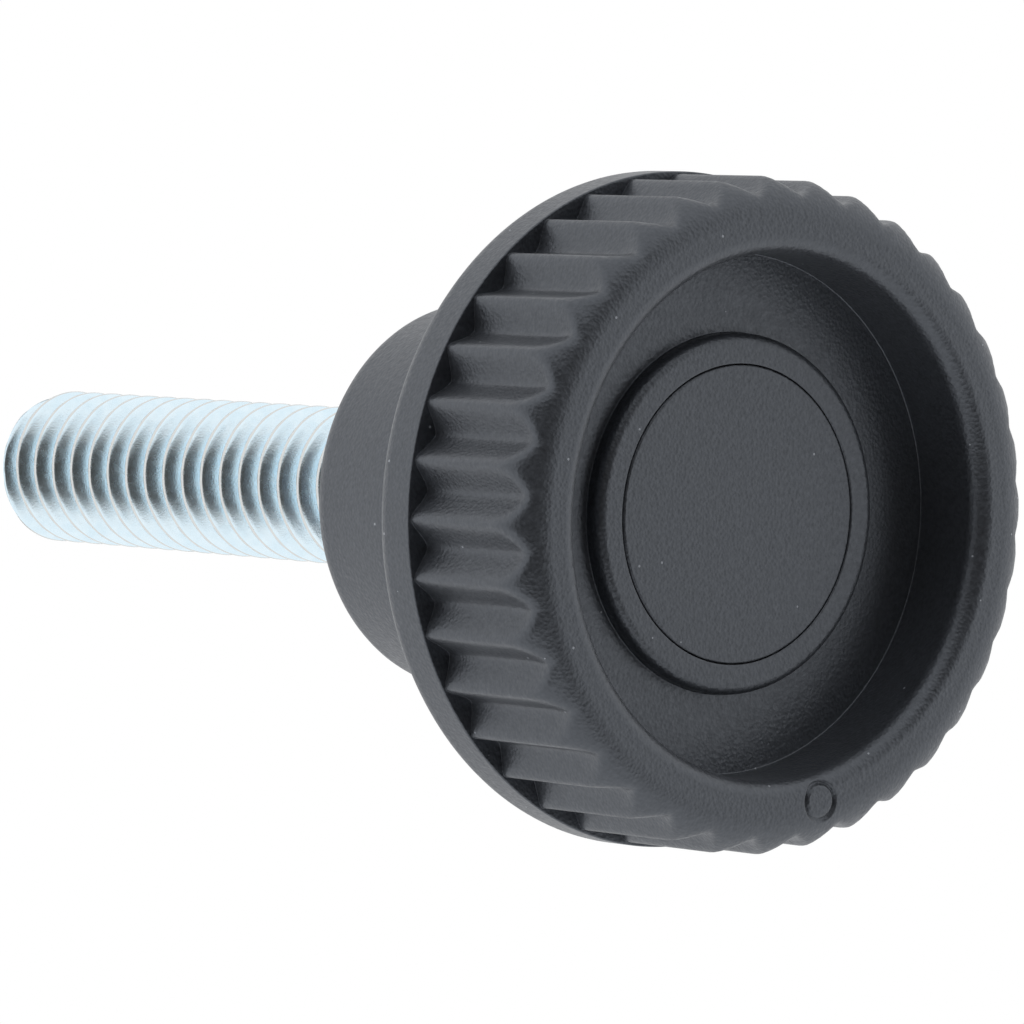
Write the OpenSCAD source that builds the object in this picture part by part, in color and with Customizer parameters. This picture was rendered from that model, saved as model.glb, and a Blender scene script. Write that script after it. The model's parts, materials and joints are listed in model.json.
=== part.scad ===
// Knurled thumb screw: a moulded plastic knob with a plated steel stud through its middle.
// The knob stands on its rim face at z = 0 with the stud pointing up. Sizes in millimetres.

/* [Grip] */
// Diameter over the thin flange behind the grip
head_d = 25.4; // [23:0.2:34]
// Height of the grip, rim face to flange
grip_h = 6.3; // [5:0.1:9]
// Step from the flange edge down to the crests of the grip
flange_step = 0.1; // [0.05:0.05:0.3]
// Rounding of the front shoulder
shoulder_r = 1.5; // [0.8:0.1:1.8]
// Number of V grooves round the grip
groove_n = 36; // [28:1:44]
// Depth of the V grooves
groove_depth = 0.75; // [0.45:0.05:0.9]
// Extra reach of the V flanks, which leaves a narrow flat on each crest
crest_flat = 0.08; // [0.04:0.02:0.14]

/* [Flange and hub] */
// Thickness of the flange
flange_t = 2.1; // [1.4:0.1:3]
// Rounding of the flange's rear edge
flange_edge_r = 0.8; // [0.2:0.1:1]
// Height of the whole knob, rim face to hub end
knob_h = 19.1; // [15.5:0.1:24]
// Diameter of the hub at its end
hub_end_d = 14.9; // [13:0.1:17]
// Flare of the hub toward the flange, on the radius
hub_flare = 0.5; // [0.1:0.05:1]
// Rounding of the hub's end edge
hub_edge_r = 1; // [0.4:0.1:1.5]
// Rounding where the hub meets the flange
hub_root_r = 0.5; // [0.2:0.1:0.8]

/* [Face recess] */
// Width of the rim, recess wall to grip crests
rim_w = 2.85; // [2.4:0.05:3.4]
// Depth of the recess floor below the rim face
recess_depth = 3.3; // [2.2:0.1:3.8]
// Rounding of the recess lip
lip_r = 0.7; // [0.1:0.1:0.8]
// Rounding at the foot of the recess wall
floor_r = 0.1; // [0.05:0.05:0.3]
// Diameter of the raised centre boss
boss_d = 13.5; // [12.6:0.1:14.4]
// Height of the boss above the recess floor
boss_h = 0.7; // [0.6:0.05:1.2]
// Rounding of the boss's top edge
boss_edge_r = 0.4; // [0.1:0.05:0.5]

/* [Ejector mark] */
// Diameter of the round ejector mark on the rim face
mark_d = 1.3; // [0.8:0.1:1.5]
// Width of the ring cut by the mark
mark_w = 0.12; // [0.08:0.02:0.2]
// Depth of the ring cut by the mark
mark_depth = 0.1; // [0.05:0.05:0.2]
// Direction of the mark round the rim, in degrees
mark_angle = 79; // [0:1:360]

/* [Centre cap] */
// Diameter of the press-in cap
cap_d = 11.2; // [10:0.1:11.8]
// Thickness of the cap
cap_t = 1.6; // [1:0.1:2]
// Chamfer round the cap's face, which draws its outline
cap_chamfer = 0.08; // [0.04:0.02:0.2]

/* [Stud] */
// Outside diameter of the stud's thread
thread_d = 6.35; // [5:0.05:7]
// Length of stud standing out of the hub
stud_len = 27.1; // [12:0.1:50]
// Step from the thread in to the plain neck inside the hub, on the radius
neck_step = 0.4; // [0.2:0.05:0.8]
// Width of the countersink round the thread at the hub's end
mouth_w = 0.15; // [0.1:0.05:0.5]
// Pitch of the right-hand thread
pitch = 1.27; // [1:0.01:1.5]
// Direction in which the thread's groove leaves the free end, in degrees
thread_angle = 91; // [0:1:360]
// Chamfer on the stud's free end
tip_chamfer = 0.75; // [0.3:0.05:1.2]
// Thickness of the stud's round head inside the knob
stud_head_t = 1.6; // [1:0.1:2]
// Width across the flats of the twelve-point barrel that stops the stud turning
barrel_w = 7.6; // [7.2:0.1:8]
// Length of the twelve-point barrel
barrel_len = 5; // [3:0.1:5.5]

/* [Hidden] */
$fn = 72;
arc_fn = 24;
over = 0.5;

head_r = head_d / 2;
crest_r = head_r - flange_step;
groove_r = crest_r - groove_depth;
recess_r = crest_r - rim_w;
flange_z = grip_h + flange_t;

hub_end_r = hub_end_d / 2;
hub_base_r = hub_end_r + hub_flare;
hub_slope = hub_flare / (knob_h - flange_z);
hub_norm = sqrt(1 + hub_slope * hub_slope);
hub_arc_x = hub_end_r + hub_edge_r * (hub_slope - hub_norm);
hub_arc_z = knob_h - hub_edge_r;
root_x = hub_base_r + hub_root_r * (hub_norm - hub_slope);
root_z = flange_z + hub_root_r;

boss_r = boss_d / 2;
boss_z = recess_depth - boss_h;
mark_ring = (recess_r + lip_r + crest_r - shoulder_r) / 2;

cap_r = cap_d / 2;
cap_seat_z = boss_z + cap_t;
stud_head_r = cap_r - 0.6;
barrel_z = cap_seat_z + stud_head_t;
neck_z = barrel_z + barrel_len;
thread_r = thread_d / 2;
neck_r = thread_r - neck_step;
mouth_r = thread_r + mouth_w;
tip_z = knob_h + stud_len;

thread_fn = 20;
crest_w = pitch / 8;
root_w = pitch / 4;
root_r = thread_r - (pitch - crest_w - root_w) / 2 / tan(30);
cut_r = thread_r + crest_w / 2;
cut_w = root_w + 2 * (cut_r - root_r) * tan(30);
thread_steps = ceil((stud_len / pitch + 2) * thread_fn);

// Waste left outside a rounded corner at [x, y]; sx and sy point out of the body there.
module corner_waste(x, y, r, sx, sy) {
  difference() {
    translate([x - (sx > 0 ? r : over), y - (sy > 0 ? r : over)]) square(r + over);
    translate([x - sx * r, y - sy * r]) circle(r = r, $fn = arc_fn);
  }
}

// Half section of the tapered hub, with its end edge rounded and a fillet at its root.
module hub_half() {
  difference() {
    polygon([[0, grip_h], [hub_base_r, grip_h], [hub_base_r, flange_z],
             [hub_end_r, knob_h], [0, knob_h]]);
    difference() {
      polygon([[hub_arc_x, hub_arc_z],
               [hub_arc_x + hub_edge_r / hub_norm, hub_arc_z + hub_edge_r * hub_slope / hub_norm],
               [hub_end_r + over, hub_arc_z], [hub_end_r + over, knob_h + over],
               [hub_arc_x, knob_h + over]]);
      translate([hub_arc_x, hub_arc_z]) circle(r = hub_edge_r, $fn = arc_fn);
    }
  }
  difference() {
    polygon([[hub_base_r - over, flange_z - over], [root_x, flange_z - over], [root_x, root_z],
             [root_x - hub_root_r / hub_norm, root_z - hub_root_r * hub_slope / hub_norm],
             [hub_base_r - over, root_z]]);
    translate([root_x, root_z]) circle(r = hub_root_r, $fn = arc_fn);
  }
}

// Half section of the face recess, leaving the boss standing in its middle.
module recess_half() {
  translate([0, -over]) square([recess_r, boss_z + over]);
  difference() {
    translate([boss_r, 0]) square([recess_r - boss_r, recess_depth]);
    corner_waste(recess_r, recess_depth, floor_r, 1, 1);
    corner_waste(boss_r, recess_depth, floor_r, -1, 1);
  }
  corner_waste(boss_r, boss_z, boss_edge_r, 1, -1);
}

// Half section of the whole knob before the grooves and the stud's seat are cut.
module knob_half() {
  difference() {
    union() {
      square([crest_r, flange_z - over]);
      translate([0, grip_h]) square([head_r, flange_t]);
      hub_half();
    }
    corner_waste(crest_r, 0, shoulder_r, 1, -1);
    corner_waste(head_r, flange_z, flange_edge_r, 1, 1);
    corner_waste(recess_r, 0, lip_r, -1, -1);
    recess_half();
  }
}

// Everything outside the star-shaped outline of the grip.
module groove_cutter() {
  translate([0, 0, -over]) linear_extrude(height = grip_h + over) difference() {
    circle(r = head_r + over);
    polygon([for (i = [0 : 2 * groove_n - 1])
      let (a = i * 180 / groove_n, r = i % 2 == 0 ? crest_r + crest_flat : groove_r)
      [r * cos(a), r * sin(a)]]);
  }
}

// Twelve-point outline shared by the stud's barrel and its socket.
module twelve_point() {
  for (a = [0 : 30 : 60]) rotate(a) square(barrel_w, center = true);
}

// Room in the knob for the cap, the stud's head, its barrel and its neck, countersunk at the hub's end.
module seat_cutter() {
  translate([0, 0, -over]) cylinder(r = cap_r, h = cap_seat_z + over);
  cylinder(r = stud_head_r, h = barrel_z);
  linear_extrude(height = neck_z) twelve_point();
  cylinder(r = neck_r, h = knob_h + over);
  translate([0, 0, knob_h - mouth_r + neck_r])
    cylinder(r1 = neck_r, r2 = mouth_r + over, h = mouth_r - neck_r + over);
}

// Ring left by the ejector on the rim face.
module mark_cutter() {
  rotate(mark_angle) translate([mark_ring, 0, -over]) difference() {
    cylinder(d = mark_d, h = over + mark_depth, $fn = arc_fn);
    translate([0, 0, -over]) cylinder(d = mark_d - 2 * mark_w, h = mark_depth + 3 * over, $fn = arc_fn);
  }
}

module knob() {
  color([0.07, 0.07, 0.075]) difference() {
    rotate_extrude() knob_half();
    groove_cutter();
    seat_cutter();
    mark_cutter();
  }
}

// Helical groove between the thread's turns, from one turn inside the hub to one past the free end.
module thread_cutter() {
  section = [[root_r, -root_w / 2], [cut_r, -cut_w / 2], [cut_r, cut_w / 2], [root_r, root_w / 2]];
  points = [for (i = [0 : thread_steps])
    let (z = tip_z + pitch * (1 - i / thread_fn), a = thread_angle - 360 * i / thread_fn)
    for (s = section) [s[0] * cos(a), s[0] * sin(a), z + s[1]]];
  sides = [for (i = [0 : thread_steps - 1], k = [0 : 3])
    let (l = (k + 1) % 4) [4 * i + k, 4 * i + 4 + k, 4 * i + 4 + l, 4 * i + l]];
  last = 4 * thread_steps;
  polyhedron(points, concat([[0, 1, 2, 3], [last + 3, last + 2, last + 1, last]], sides));
}

module threaded_stud() {
  color([0.78, 0.82, 0.86]) {
    translate([0, 0, cap_seat_z]) cylinder(r = stud_head_r, h = stud_head_t);
    translate([0, 0, barrel_z]) linear_extrude(height = barrel_len) twelve_point();
    translate([0, 0, barrel_z]) cylinder(r = neck_r, h = knob_h - barrel_z);
    difference() {
      rotate_extrude() polygon([[0, knob_h], [thread_r, knob_h], [thread_r, tip_z - tip_chamfer],
                                [thread_r - tip_chamfer, tip_z], [0, tip_z]]);
      thread_cutter();
    }
  }
}

module centre_cap() {
  color([0.07, 0.07, 0.075]) rotate_extrude()
    polygon([[0, boss_z], [cap_r - cap_chamfer, boss_z], [cap_r, boss_z + cap_chamfer],
             [cap_r, cap_seat_z], [0, cap_seat_z]]);
}

knob();
threaded_stud();
centre_cap();
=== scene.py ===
"""Looks of a knurled thumb screw: black moulded knob, plated stud and press-in centre cap.

The knob stands on its rim face at z = 0 with the stud pointing up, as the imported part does.
"""

import json
import math

import bmesh
import bpy
import numpy as np
from mathutils import Matrix, Quaternion, Vector


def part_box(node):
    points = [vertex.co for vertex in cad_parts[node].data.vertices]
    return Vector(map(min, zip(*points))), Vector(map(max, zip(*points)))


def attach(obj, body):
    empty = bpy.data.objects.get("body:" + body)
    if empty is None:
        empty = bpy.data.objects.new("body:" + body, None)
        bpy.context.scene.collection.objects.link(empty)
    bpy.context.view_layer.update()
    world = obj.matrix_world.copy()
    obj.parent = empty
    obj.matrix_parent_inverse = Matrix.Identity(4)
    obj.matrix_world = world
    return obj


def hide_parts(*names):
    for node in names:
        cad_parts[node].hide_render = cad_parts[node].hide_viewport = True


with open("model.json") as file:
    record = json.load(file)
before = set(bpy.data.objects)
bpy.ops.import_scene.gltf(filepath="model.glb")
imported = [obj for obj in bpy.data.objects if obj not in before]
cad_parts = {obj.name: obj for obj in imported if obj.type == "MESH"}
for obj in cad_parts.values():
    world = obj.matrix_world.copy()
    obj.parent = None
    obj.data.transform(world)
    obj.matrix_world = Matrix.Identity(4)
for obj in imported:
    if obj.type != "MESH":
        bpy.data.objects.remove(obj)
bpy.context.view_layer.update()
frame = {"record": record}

MM = 0.001

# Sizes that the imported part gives.
MOUNTS = {mount["name"]: mount for mount in frame["record"]["mounts"]}
HEAD_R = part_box("knob")[1].x
KNOB_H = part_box("knob")[1].z
CAP_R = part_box("centre_cap")[1].x
BOSS_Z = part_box("centre_cap")[0].z
CAP_SEAT_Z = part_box("centre_cap")[1].z
STUD_HEAD_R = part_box("threaded_stud")[1].x
TIP_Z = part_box("threaded_stud")[1].z
THREAD_R = MOUNTS["stud_thread"]["dims"]["r_mm"] * MM

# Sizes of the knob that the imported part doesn't name.
GRIP_H = 6.3 * MM
FLANGE_Z = 8.4 * MM
FLANGE_EDGE_R = 0.8 * MM
CREST_R = HEAD_R - 0.1 * MM
SHOULDER_R = 1.5 * MM
RECESS_R = CREST_R - 2.85 * MM
RECESS_Z = 3.3 * MM
LIP_R = 0.7 * MM
FOOT_R = 0.04 * MM
BOSS_R = 6.75 * MM
BOSS_EDGE_R = 0.4 * MM
HUB_END_R = 7.45 * MM
HUB_BASE_R = 7.95 * MM
HUB_EDGE_R = 1.0 * MM
HUB_ROOT_R = 0.5 * MM
FINE_EDGE_R = 0.05 * MM

# Rows of the mesh: next to a rounding, next to the flange's wall, and over the flat rim.
EDGE_ROW = 0.02 * MM
WALL_ROW = 0.02 * MM
WALL_ROW_LIMIT = 1.1 * WALL_ROW
RIM_ROWS = 9
LARGE_ROUNDING = 0.3 * MM
LARGE_ROUNDING_STEP = math.radians(9)
SMALL_ROUNDING_STEP = math.radians(30)

# V grooves of the grip, which run out and soften over the front shoulder.
GROOVE_N = 36
GROOVE_DEPTH = 0.75 * MM
CREST_REACH = 0.08 * MM
CREST_SOFT = 0.2 * MM
VALLEY_SOFT = 0.3 * MM
FRONT_SOFT = 0.45 * MM
FRONT_RUN = 1.6 * MM
FRONT_RISE = 0.25 * MM

# Round mark that the ejector leaves on the rim face.
MARK_R = 0.8 * MM
MARK_W = 0.24 * MM
MARK_DEPTH = 0.13 * MM
MARK_TURN = math.radians(79.8)
MARK_RING = (RECESS_R + LIP_R + CREST_R - SHOULDER_R) / 2
MARK_CUTS = 2
MARK_ZONE_R = MARK_R + 2 * MARK_W
MARK_ZONE_H = GRIP_H / 4

# Centre cap, a little smaller than its seat and off its middle.
CAP_EDGE_R = 0.09 * MM
CAP_GAP = 0.03 * MM
CAP_SHIFT = 0.015 * MM
CAP_AXIS_R = 0.01 * MM

# The stud's seat inside the knob.
STUD_HEAD_T = 1.6 * MM
BARREL_W = 7.6 * MM
BARREL_Z = CAP_SEAT_Z + STUD_HEAD_T
NECK_Z = BARREL_Z + 5 * MM
NECK_R = THREAD_R - 0.4 * MM
MOUTH_R = THREAD_R + 0.15 * MM

# Thread of the stud: quarter-inch, 20 turns to the inch, right-hand.
PITCH = 1.27 * MM
THREAD_CREST_R = THREAD_R - 0.05 * MM
THREAD_CREST_W = 0.16 * MM
THREAD_DEPTH = 0.75 * MM
THREAD_SOFT = 0.06 * MM
FIRST_CREST_Z = 44.616 * MM
CREST_TURN = math.radians(181.6)
TIP_CHAMFER = 0.75 * MM
STUD_END_Z = TIP_Z + 0.2 * MM

KNOB_COLUMNS = 720
CAP_COLUMNS = 240
STUD_COLUMNS = 120
STUD_ROWS = 400

# Parts of a noise's range that are stretched to the whole.
NARROW_BAND = (0.35, 0.65)
WIDE_BAND = (0.3, 0.7)
WHOLE_BAND = (0, 1)

# Black plastic. Scales are in features to the metre.
PLASTIC_DEEP = (0.0185, 0.0195, 0.022, 1)
PLASTIC_PALE = (0.0345, 0.0365, 0.041, 1)
PLASTIC_MOTTLE = 6000
PLASTIC_ROUGHNESS = (0.34, 0.46)
PLASTIC_ROUGHNESS_SCALE = 5000
PLASTIC_IOR = 1.55
PLASTIC_REFLECTION = (0.82, 0.89, 1, 1)
LEATHER_SCALE = 7000
LEATHER_HEIGHT = 0.012 * MM
GRAIN_SCALE = 9000
GRAIN_HEIGHT = 0.005 * MM
DUST_COLOUR = (0.3, 0.31, 0.33, 1)
DUST_SCALE = 1000
DUST_R = 0.05
DUST_LEAST = 0.5

# Zinc plate, with its blue worn off the thread's crests.
ZINC_PALE = (0.79, 0.92, 0.99, 1)
ZINC_DEEP = (0.73, 0.88, 0.965, 1)
ZINC_WORN = (0.7, 0.715, 0.71, 1)
ZINC_WORN_R = THREAD_CREST_R - 0.03 * MM
ZINC_MOTTLE = 1800
ZINC_ROUGHNESS = (0.22, 0.29)
ZINC_ROUGHNESS_SCALE = 3000
SKIN_SCALE = 14000
SKIN_HEIGHT = 0.005 * MM

# Light tent: its colours toward -Z and toward +Z, and its dark opening, as angles from the
# opening's axis and as shares of the way to +Y or -Y. The shares are shifted toward -Y.
WHITE = (1, 1, 1, 1)
TENT_FRONT = (0.85, 0.87, 0.9, 1)
TENT_BACK = (1.08, 1.1, 1.13, 1)
OPENING_COLOUR = (0.06, 0.055, 0.05, 1)
OPENING_TILT = math.radians(25)
OPENING_NEAR = math.radians(44)
OPENING_FAR = math.radians(60)
OPENING_SHIFT = 0.08
OPENING_HALF_LEAST = 0.4
OPENING_HALF_MOST = 0.6

FLOOR_SIDE = 400 * MM
FLOOR_DROP = 0.05 * MM

CAMERA_PLACE = Vector((-182.392, -15.084, -209.477)) * MM
CAMERA_AIM = Vector((-0.046, 0.534, 15.928)) * MM
CAMERA_ROLL = math.radians(-85.758)
CAMERA_LENS = 264.826
CAMERA_SENSOR = 36
CAMERA_NEAR = 10 * MM
CAMERA_FAR = 2


# ---------------------------------------------------------------- mesh helpers

def rounded(corners):
    """Profile points along a closed run of straight lines, round their corners.

    Each corner is (radius, height, rounding).
    """
    points = []
    for i, (radius, height, rounding) in enumerate(corners):
        corner = Vector((radius, height))
        if not rounding:
            points.append(corner)
            continue
        back = (Vector(corners[i - 1][:2]) - corner).normalized()
        ahead = (Vector(corners[(i + 1) % len(corners)][:2]) - corner).normalized()
        half = back.angle(ahead) / 2
        start = corner + back * rounding / math.tan(half)
        end = corner + ahead * rounding / math.tan(half)
        centre = corner + (back + ahead).normalized() * rounding / math.sin(half)
        arm = start - centre
        sweep = math.pi - 2 * half
        side = math.copysign(1, back.x * ahead.y - back.y * ahead.x)
        step = LARGE_ROUNDING_STEP if rounding > LARGE_ROUNDING else SMALL_ROUNDING_STEP
        steps = math.ceil(sweep / step)
        points.append(start + back * EDGE_ROW)
        for k in range(steps + 1):
            turn = -side * sweep * k / steps
            cos, sin = math.cos(turn), math.sin(turn)
            points.append(centre + Vector((arm.x * cos - arm.y * sin, arm.x * sin + arm.y * cos)))
        points.append(end + ahead * EDGE_ROW)
    return points


def full_turn(columns):
    """Angles of this many columns round the axis."""
    return np.arange(columns) * 2 * math.pi / columns


def revolve(name, rings, angles, closed):
    """Object whose rings are joined in turn round the axis.

    Each ring is an array of radii with an array of heights.
    """
    radii = np.array([ring[0] for ring in rings])
    heights = np.array([ring[1] for ring in rings])
    points = np.stack([radii * np.cos(angles), radii * np.sin(angles), heights], axis=-1)
    rows, columns = radii.shape
    grid = np.arange(rows * columns).reshape(rows, columns)
    beside = np.roll(grid, -1, axis=1)
    next_row = [np.roll(row, -1, axis=0) for row in (beside, grid)]
    quads = np.stack([grid, beside, *next_row], axis=-1)
    faces = (quads if closed else quads[:-1]).reshape(-1, 4).tolist()
    if not closed:
        faces += [grid[0][::-1].tolist(), grid[-1].tolist()]
    mesh = bpy.data.meshes.new(name)
    mesh.from_pydata(points.reshape(-1, 3).tolist(), [], faces)
    mesh.update()
    piece = bpy.data.objects.new(name, mesh)
    bpy.context.scene.collection.objects.link(piece)
    return piece


def smooth(piece):
    """Turns every face outward and shades it smooth."""
    shape = bmesh.new()
    shape.from_mesh(piece.data)
    bmesh.ops.recalc_face_normals(shape, faces=shape.faces)
    for face in shape.faces:
        face.smooth = True
    shape.to_mesh(piece.data)
    shape.free()


def smooth_min(a, b, width):
    """Lesser of a and b, rounded over this width where they cross."""
    share = np.clip(0.5 + 0.5 * (b - a) / width, 0, 1)
    return b + (a - b) * share - width * share * (1 - share)


def plain_ring(point, angles):
    """Ring of one radius at one height."""
    return np.full(len(angles), point[0]), np.full(len(angles), point[1])


def twelve_point_ring(height, angles):
    """Ring that stops the stud turning: three squares laid over each other."""
    tilts = [math.radians(tilt) for tilt in (0, 30, 60)]
    quarter = math.pi / 2
    off = np.max([np.abs((angles - tilt + quarter / 2) % quarter - quarter / 2) for tilt in tilts],
                 axis=0)
    return BARREL_W / 2 / np.cos(off), np.full(len(angles), height)


# ---------------------------------------------------------------- knob

def groove_radius(angles):
    """Radius of the V-grooved outline, with a sharp crest on +X and soft valleys."""
    step = 2 * math.pi / GROOVE_N
    crest = CREST_R + CREST_REACH
    valley = CREST_R - GROOVE_DEPTH
    soft = VALLEY_SOFT / valley
    off_valley = np.abs(angles / step % 1 - 0.5) * step
    turn = step / 2 - np.hypot(off_valley, soft) + soft * (1 - 2 * off_valley / step)
    flank = crest * np.sin(turn) + valley * np.sin(step / 2 - turn)
    return crest * valley * math.sin(step / 2) / flank


def on_grip(point):
    """Whether the grooves cut this point of the profile, from the rim to the flange's wall."""
    return (RECESS_R + LIP_R < point[0] < CREST_R + WALL_ROW_LIMIT
            and point[1] < GRIP_H + WALL_ROW_LIMIT)


def grip_ring(point, angles):
    """Ring of the plain profile, cut by the grooves, which soften and run out toward the front.

    A point past the crests lies on the flange's wall, as far past the grooves.
    """
    radius, height = plain_ring(point, angles)
    nearness = np.clip(1 - point[1] / FRONT_RUN, 0, 1)
    width = CREST_SOFT + (FRONT_SOFT - CREST_SOFT) * nearness
    grooves = groove_radius(angles) + FRONT_RISE * nearness ** 2
    past = max(point[0] - CREST_R, 0)
    return smooth_min(radius - past, grooves, width) + past, height


def press_mark(piece):
    """Presses the ejector's ring into the rim face, on a locally finer mesh."""
    centre = Vector((MARK_RING * math.cos(MARK_TURN), MARK_RING * math.sin(MARK_TURN)))
    shape = bmesh.new()
    shape.from_mesh(piece.data)

    def close(vertex):
        return vertex.co.z < MARK_ZONE_H and (vertex.co.xy - centre).length < MARK_ZONE_R

    edges = [edge for edge in shape.edges if all(close(vertex) for vertex in edge.verts)]
    bmesh.ops.subdivide_edges(shape, edges=edges, cuts=MARK_CUTS, use_grid_fill=True)
    for vertex in filter(close, shape.verts):
        off = abs((vertex.co.xy - centre).length - MARK_R + MARK_W / 2) / (MARK_W / 2)
        vertex.co.z += MARK_DEPTH * (1 + math.cos(math.pi * min(off, 1))) / 2
    shape.to_mesh(piece.data)
    shape.free()


def knob():
    """The moulding: boss, recess, rim, grip, flange and hub, bored for the cap and the stud."""
    angles = full_turn(KNOB_COLUMNS)
    flat_rim = np.linspace(RECESS_R + LIP_R, CREST_R - SHOULDER_R, RIM_ROWS)[1:-1]
    outline = rounded([
        (CAP_R, CAP_SEAT_Z, 0),
        (CAP_R, BOSS_Z, FINE_EDGE_R),
        (BOSS_R, BOSS_Z, BOSS_EDGE_R),
        (BOSS_R, RECESS_Z, FOOT_R),
        (RECESS_R, RECESS_Z, FOOT_R),
        (RECESS_R, 0, LIP_R),
        *((radius, 0, 0) for radius in flat_rim),
        (CREST_R, 0, SHOULDER_R),
        (CREST_R, GRIP_H - WALL_ROW, 0),
        (CREST_R, GRIP_H, 0),
        (CREST_R + WALL_ROW, GRIP_H, 0),
        (HEAD_R, GRIP_H, FINE_EDGE_R),
        (HEAD_R, FLANGE_Z, FLANGE_EDGE_R),
        (HUB_BASE_R, FLANGE_Z, HUB_ROOT_R),
        (HUB_END_R, KNOB_H, HUB_EDGE_R),
        (MOUTH_R, KNOB_H, 0),
        (NECK_R, KNOB_H - MOUTH_R + NECK_R, 0),
        (NECK_R, NECK_Z, 0),
    ])
    rings = [(grip_ring if on_grip(point) else plain_ring)(point, angles) for point in outline]
    rings += [twelve_point_ring(NECK_Z, angles), twelve_point_ring(BARREL_Z, angles),
              plain_ring((STUD_HEAD_R, BARREL_Z), angles),
              plain_ring((STUD_HEAD_R, CAP_SEAT_Z), angles)]
    piece = revolve("knob_shell", rings, angles, closed=True)
    press_mark(piece)
    smooth(piece)
    piece.data.materials.append(black_plastic("black plastic"))
    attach(piece, "root")
    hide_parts("knob")


# ---------------------------------------------------------------- stud

def thread_ring(height, angles):
    """Ring across the thread: a 60 degree V with a narrow crest and root, chamfered at the tip."""
    turn = (height - FIRST_CREST_Z) / PITCH - (angles - CREST_TURN) / (2 * math.pi)
    off_crest = np.abs((turn + 0.5) % 1 - 0.5) * PITCH
    flank = THREAD_CREST_R - (off_crest - THREAD_CREST_W / 2) * math.sqrt(3)
    crest = smooth_min(flank, THREAD_CREST_R, THREAD_SOFT)
    radius = -smooth_min(-crest, THREAD_DEPTH - THREAD_CREST_R, THREAD_SOFT)
    chamfer = THREAD_CREST_R + STUD_END_Z - TIP_CHAMFER - height
    return np.minimum(radius, chamfer), np.full(len(angles), height)


def stud():
    """Plated stud: head, barrel and neck inside the knob, thread from the hub to the free end."""
    angles = full_turn(STUD_COLUMNS)
    rings = [plain_ring((STUD_HEAD_R, CAP_SEAT_Z), angles),
             plain_ring((STUD_HEAD_R, BARREL_Z), angles),
             twelve_point_ring(BARREL_Z, angles), twelve_point_ring(NECK_Z, angles),
             plain_ring((NECK_R, NECK_Z), angles), plain_ring((NECK_R, KNOB_H), angles)]
    rings += [thread_ring(height, angles)
              for height in np.linspace(KNOB_H, STUD_END_Z, STUD_ROWS)]
    end_radius = THREAD_CREST_R - TIP_CHAMFER
    rings.append(plain_ring((end_radius - FINE_EDGE_R, STUD_END_Z), angles))
    piece = revolve("plated_stud", rings, angles, closed=False)
    smooth(piece)
    piece.data.materials.append(zinc_plate("zinc plate"))
    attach(piece, "root")
    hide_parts("threaded_stud")


# ---------------------------------------------------------------- cap

def cap():
    """Press-in disc that closes the stud's seat."""
    angles = full_turn(CAP_COLUMNS)
    radius = CAP_R - CAP_GAP
    outline = rounded([
        (CAP_AXIS_R, BOSS_Z, 0),
        (radius, BOSS_Z, CAP_EDGE_R),
        (radius, CAP_SEAT_Z, 0),
        (CAP_AXIS_R, CAP_SEAT_Z, 0),
    ])
    rings = [plain_ring(point, angles) for point in outline]
    piece = revolve("cap_disc", rings, angles, closed=False)
    piece.data.transform(Matrix.Translation((CAP_SHIFT, 0, 0)))
    smooth(piece)
    piece.data.materials.append(black_plastic("cap plastic"))
    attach(piece, "root")
    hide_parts("centre_cap")


# ---------------------------------------------------------------- node helpers

def adder(tree):
    """Function that adds a node to this tree.

    The node's inputs are constants, or outputs of other nodes.
    """
    def add(kind, inputs, **settings):
        node = tree.nodes.new("ShaderNode" + kind)
        for key, value in settings.items():
            setattr(node, key, value)
        for key, value in inputs.items():
            if isinstance(value, bpy.types.NodeSocket):
                tree.links.new(value, node.inputs[key])
            else:
                node.inputs[key].default_value = value
        return node

    return add


def calculate(add, operation, *values):
    """Result of one Math node."""
    return add("Math", dict(enumerate(values)), operation=operation).outputs[0]


def along(add, direction, axis):
    """Part of this direction that lies along the axis."""
    inputs = {0: direction, 1: axis}
    return add("VectorMath", inputs, operation="DOT_PRODUCT").outputs["Value"]


def noise(add, place, scale, detail, band=WHOLE_BAND):
    """Noise this fine, with one band of its range stretched to run from 0 to 1."""
    cloud = add("TexNoise", {"Vector": place, "Scale": scale, "Detail": detail})
    limits = {"Value": cloud.outputs["Fac"], "From Min": band[0], "From Max": band[1]}
    return add("MapRange", limits).outputs["Result"]


def between(add, share, ends):
    """Number that goes from one end to the other as the share goes from 0 to 1."""
    limits = {"Value": share, "To Min": ends[0], "To Max": ends[1]}
    return add("MapRange", limits).outputs["Result"]


def blend(add, share, first, second):
    """Colour that goes from the first to the second as the share goes from 0 to 1."""
    inputs = {"Factor": share, "A": first, "B": second}
    return add("Mix", inputs, data_type="RGBA").outputs["Result"]


def bump(add, height, distance, normal=None):
    """Normal of a surface raised by this height times this distance, over the given normal."""
    inputs = {"Height": height, "Distance": distance, "Strength": 1}
    if normal:
        inputs["Normal"] = normal
    return add("Bump", inputs).outputs["Normal"]


# ---------------------------------------------------------------- materials

def new_material(name):
    """Plain node material, as (material, shader, place on the piece, function to add a node)."""
    material = bpy.data.materials.new(name)
    material.use_nodes = True
    add = adder(material.node_tree)
    shader = material.node_tree.nodes["Principled BSDF"]
    return material, shader, add("TexCoord", {}).outputs["Object"], add


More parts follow.
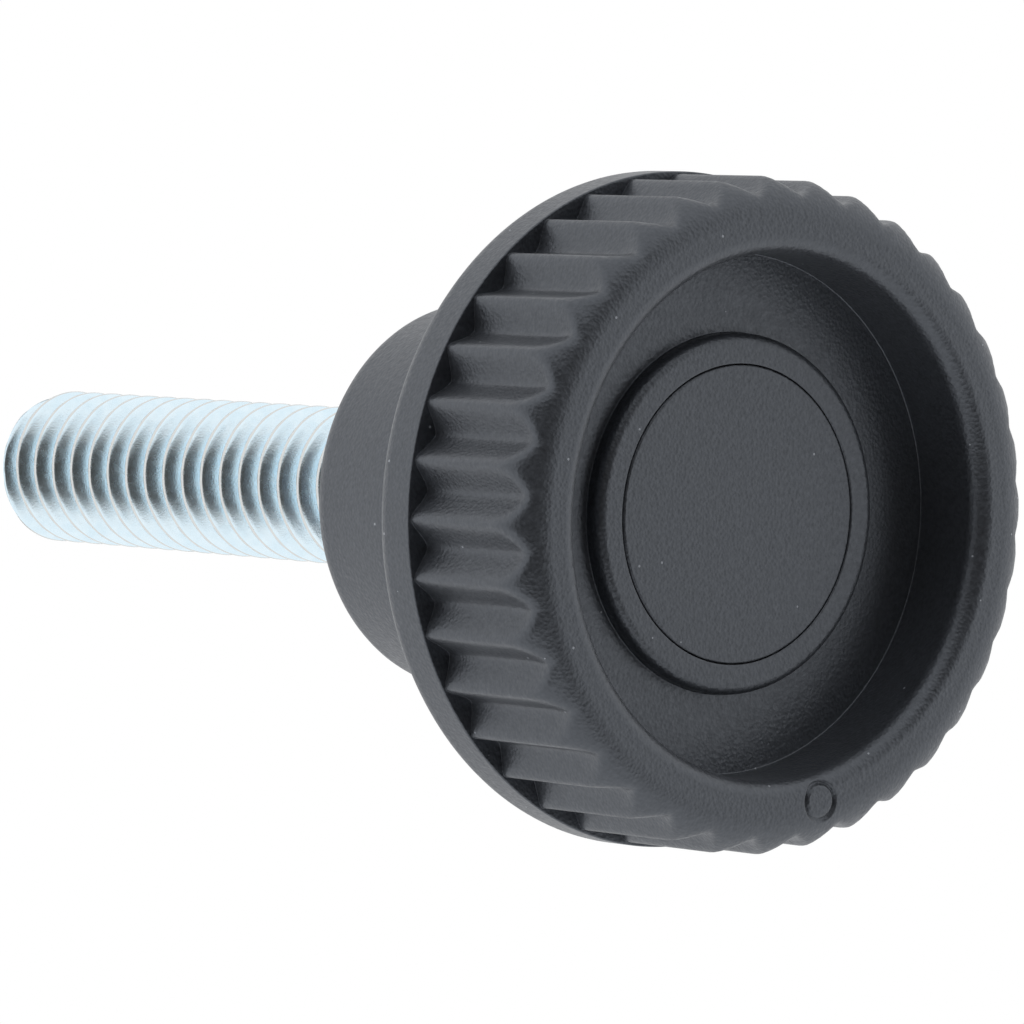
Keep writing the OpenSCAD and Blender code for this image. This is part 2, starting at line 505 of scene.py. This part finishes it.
def black_plastic(name):
    """Matt black moulding: leathery grain, uneven sheen and a few specks of dust."""
    material, shader, place, add = new_material(name)
    link = material.node_tree.links.new
    mottle = noise(add, place, PLASTIC_MOTTLE, 3, NARROW_BAND)
    tone = blend(add, mottle, PLASTIC_DEEP, PLASTIC_PALE)
    cell = add("TexVoronoi", {"Vector": place, "Scale": DUST_SCALE}).outputs
    dusty = calculate(add, "MULTIPLY", calculate(add, "LESS_THAN", cell["Distance"], DUST_R),
                      calculate(add, "GREATER_THAN", cell["Color"], DUST_LEAST))
    patches = noise(add, place, PLASTIC_ROUGHNESS_SCALE, 3, WIDE_BAND)
    leather = add("TexVoronoi", {"Vector": place, "Scale": LEATHER_SCALE}).outputs["Distance"]
    wrinkles = bump(add, leather, LEATHER_HEIGHT)
    grain = bump(add, noise(add, place, GRAIN_SCALE, 2), GRAIN_HEIGHT, wrinkles)
    link(blend(add, dusty, tone, DUST_COLOUR), shader.inputs["Base Color"])
    link(between(add, patches, PLASTIC_ROUGHNESS), shader.inputs["Roughness"])
    link(grain, shader.inputs["Normal"])
    shader.inputs["IOR"].default_value = PLASTIC_IOR
    shader.inputs["Specular IOR Level"].default_value = 1
    shader.inputs["Specular Tint"].default_value = PLASTIC_REFLECTION
    return material


def zinc_plate(name):
    """Bright zinc plate with a faint blue tint, an uneven skin and pale worn crests."""
    material, shader, place, add = new_material(name)
    link = material.node_tree.links.new
    mottle = noise(add, place, ZINC_MOTTLE, 3, NARROW_BAND)
    tone = blend(add, mottle, ZINC_PALE, ZINC_DEEP)
    patches = noise(add, place, ZINC_ROUGHNESS_SCALE, 3, WIDE_BAND)
    skin = bump(add, noise(add, place, SKIN_SCALE, 3), SKIN_HEIGHT)
    across = add("VectorMath", {0: place, 1: (1, 1, 0)}, operation="MULTIPLY").outputs[0]
    radius = add("VectorMath", {0: across}, operation="LENGTH").outputs["Value"]
    on_crest = calculate(add, "GREATER_THAN", radius, ZINC_WORN_R)
    link(blend(add, on_crest, tone, ZINC_WORN), shader.inputs["Base Color"])
    link(between(add, patches, ZINC_ROUGHNESS), shader.inputs["Roughness"])
    link(skin, shader.inputs["Normal"])
    shader.inputs["Metallic"].default_value = 1
    return material


# ---------------------------------------------------------------- stage

def floor():
    """White floor that shows to cameras above it, and lets light and lower views through."""
    mesh = bpy.data.meshes.new("floor")
    corners = [(x * FLOOR_SIDE, y * FLOOR_SIDE, -FLOOR_DROP)
               for x, y in ((-1, -1), (1, -1), (1, 1), (-1, 1))]
    mesh.from_pydata(corners, [], [(0, 1, 2, 3)])
    piece = bpy.data.objects.new("floor", mesh)
    bpy.context.scene.collection.objects.link(piece)
    material = bpy.data.materials.new("floor")
    material.use_nodes = True
    material.node_tree.nodes.clear()
    add = adder(material.node_tree)
    path = add("LightPath", {}).outputs
    below = add("NewGeometry", {}).outputs["Backfacing"]
    shown = add("Math", {0: path["Is Camera Ray"], 1: below}, operation="SUBTRACT", use_clamp=True)
    clear = add("BsdfTransparent", {}).outputs[0]
    white = add("BsdfDiffuse", {"Color": WHITE}).outputs[0]
    surface = add("MixShader", {0: shown.outputs[0], 1: clear, 2: white}).outputs[0]
    add("OutputMaterial", {"Surface": surface})
    piece.data.materials.append(material)


def studio():
    """White tent, a little brighter toward the stud's end, with one dark opening.

    The opening is in front of the knob's face, and the camera doesn't see it. Camera, glossy
    and transmission rays see the rest of the tent as a plain white backdrop.
    """
    world = bpy.data.worlds.new("studio")
    bpy.context.scene.world = world
    world.use_nodes = True
    add = adder(world.node_tree)

    def fade(value, far, near):
        limits = {"Value": value, "From Min": far, "From Max": near}
        return add("MapRange", limits, interpolation_type="SMOOTHSTEP").outputs["Result"]

    ray = add("TexCoord", {}).outputs["Generated"]
    path = add("LightPath", {}).outputs
    upward = add("MapRange", {"Value": along(add, ray, (0, 0, 1)), "From Min": -1})
    tent = blend(add, upward.outputs["Result"], TENT_FRONT, TENT_BACK)
    shiny = calculate(add, "MAXIMUM", path["Is Glossy Ray"], path["Is Transmission Ray"])
    backdrop = calculate(add, "MAXIMUM", path["Is Camera Ray"], shiny)

    opening = Vector((-math.sin(OPENING_TILT), 0, -math.cos(OPENING_TILT)))
    within = fade(along(add, ray, opening), math.cos(OPENING_FAR), math.cos(OPENING_NEAR))
    aside = calculate(add, "ADD", along(add, ray, (0, 1, 0)), OPENING_SHIFT)
    beside = fade(calculate(add, "ABSOLUTE", aside), OPENING_HALF_MOST, OPENING_HALF_LEAST)
    inside = calculate(add, "MULTIPLY", within, beside)
    unseen = calculate(add, "SUBTRACT", 1, path["Is Camera Ray"])
    dark = calculate(add, "MULTIPLY", inside, unseen)

    light = blend(add, dark, blend(add, backdrop, tent, WHITE), OPENING_COLOUR)
    world.node_tree.links.new(light, world.node_tree.nodes["Background"].inputs["Color"])


def camera():
    """Long lens below and to the side of the knob's face, rolled so that the stud points left."""
    data = bpy.data.cameras.new("camera")
    data.lens = CAMERA_LENS
    data.sensor_width = CAMERA_SENSOR
    data.clip_start = CAMERA_NEAR
    data.clip_end = CAMERA_FAR
    piece = bpy.data.objects.new("camera", data)
    bpy.context.scene.collection.objects.link(piece)
    piece.location = CAMERA_PLACE
    piece.rotation_mode = "QUATERNION"
    facing = (CAMERA_AIM - CAMERA_PLACE).to_track_quat("-Z", "Y")
    piece.rotation_quaternion = facing @ Quaternion((0, 0, 1), CAMERA_ROLL)
    bpy.context.scene.camera = piece


camera()
bpy.context.scene.view_settings.view_transform = "Standard"
studio()
floor()
knob()
stud()
cap()
